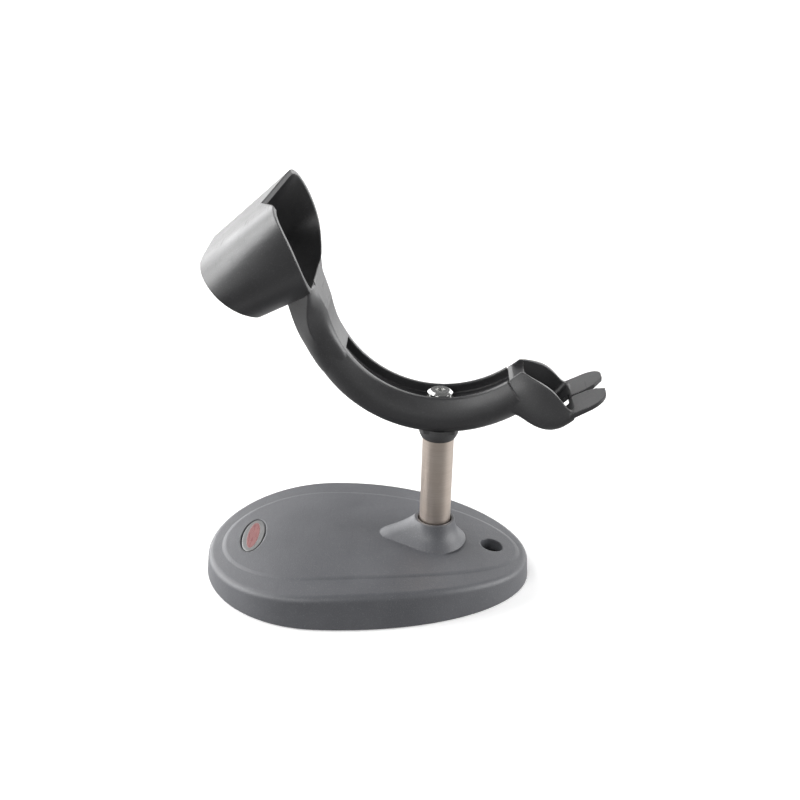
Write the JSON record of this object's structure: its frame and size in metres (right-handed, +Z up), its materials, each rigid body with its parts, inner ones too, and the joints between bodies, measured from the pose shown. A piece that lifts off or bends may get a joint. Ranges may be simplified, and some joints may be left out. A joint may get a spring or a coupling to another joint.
{
  "type": "handheld barcode scanner stand",
  "caption": "Hands-free stand that holds a handheld barcode scanner by its head and handle, swivels on its post and tilts.",
  "frame": {"origin": "on the table, under the axis of the post, in the plane of the rubber feet", "axes": "+Z up; X along the base, with the badge and the head cup at -X and the tail of the cradle at +X; the stand is symmetric about Y = 0"},
  "size_m": [0.1976, 0.1212, 0.2025],
  "materials": {
    "base_shell": "satin moulded, fine grain, mid grey",
    "ballast": "as cast, black oxide",
    "underside": "black, fine grain",
    "zinc_screws": "zinc plated",
    "foot_rubber": "black, smooth",
    "badge_frame": "light grey, smooth",
    "badge_face": "plain muted red, no lettering",
    "post_metal": "warm grey, brushed around the tube",
    "plug_steel": "turned steel",
    "bolt_steel": "zinc plated",
    "saddle_plastic": "dark grey glass-filled, satin",
    "clamp_chrome": "bright plated",
    "washer_steel": "zinc plated",
    "cradle_plastic": "near black, satin to semi-gloss"
  },
  "bodies": {
    "base": {"base_cover": "base_shell", "ballast_plate": "ballast", "bottom_plate": "underside", "bottom_screws": "zinc_screws", "foot_front_left": "foot_rubber", "foot_front_right": "foot_rubber", "foot_rear_left": "foot_rubber", "foot_rear_right": "foot_rubber", "badge_plate": "badge_frame", "badge_label": "badge_face", "post_tube": "post_metal", "post_foot_plug": "plug_steel", "post_head_plug": "plug_steel", "post_bolt": "bolt_steel", "post_flat_washer": "washer_steel", "post_lock_washer": "washer_steel"},
    "saddle": {"saddle": "saddle_plastic", "clamp_screw": "clamp_chrome", "clamp_washer": "washer_steel", "clamp_lock_washer": "washer_steel"},
    "cradle": {"cradle": "cradle_plastic"}
  },
  "joints": [
    {"name": "swivel", "type": "hinge", "parent": "base", "child": "saddle", "pos_m": [0, 0, 0.083], "axis": [0, 0, 1], "continuous": true},
    {"name": "tilt", "type": "hinge", "parent": "saddle", "child": "cradle", "pos_m": [0, 0, 0.1586], "axis": [0, 1, 0], "range_deg": [-35, 21]}
  ]
}
